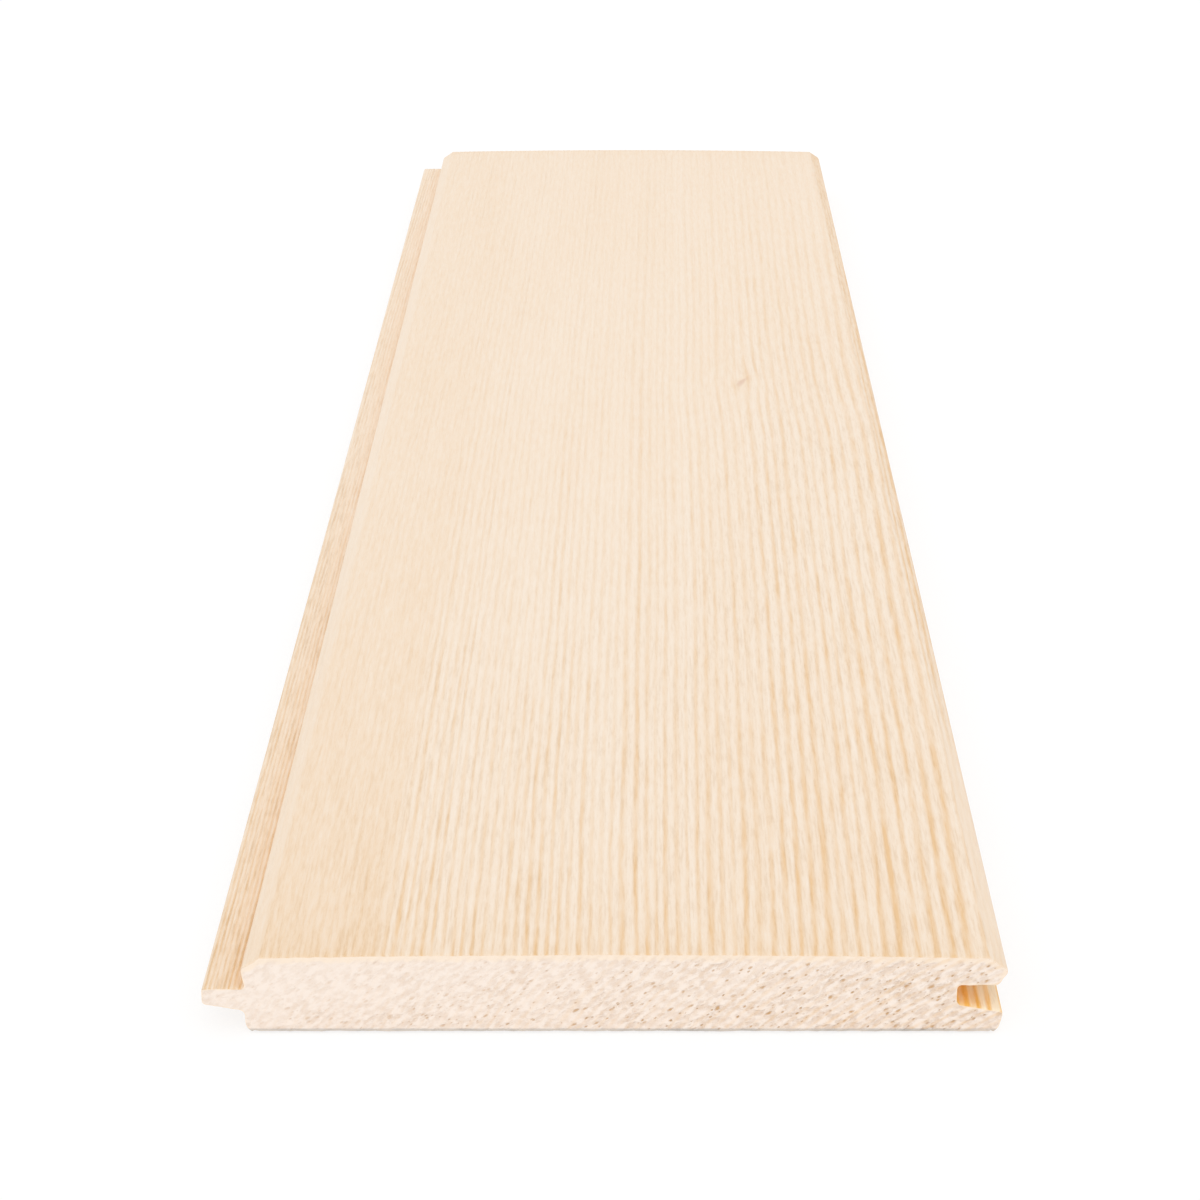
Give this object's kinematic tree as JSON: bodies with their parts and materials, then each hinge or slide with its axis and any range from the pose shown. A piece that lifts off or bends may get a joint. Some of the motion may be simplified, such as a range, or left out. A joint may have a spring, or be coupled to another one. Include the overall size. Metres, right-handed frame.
{
  "type": "tongue and groove board",
  "caption": "Flat softwood cladding board with a bevelled face, a tapered tongue along one long edge and a matching groove along the other.",
  "frame": {"origin": "middle of the back, halfway along the board and halfway between the tongue's tip and the groove's face lip", "axes": "+X across the board from the tongue to the groove, +Y along the grain, +Z out of the face"},
  "size_m": [0.143, 0.6, 0.016],
  "materials": {
    "planed_softwood": "matte"
  },
  "bodies": {
    "root": {"board": "planed_softwood"}
  },
  "joints": []
}
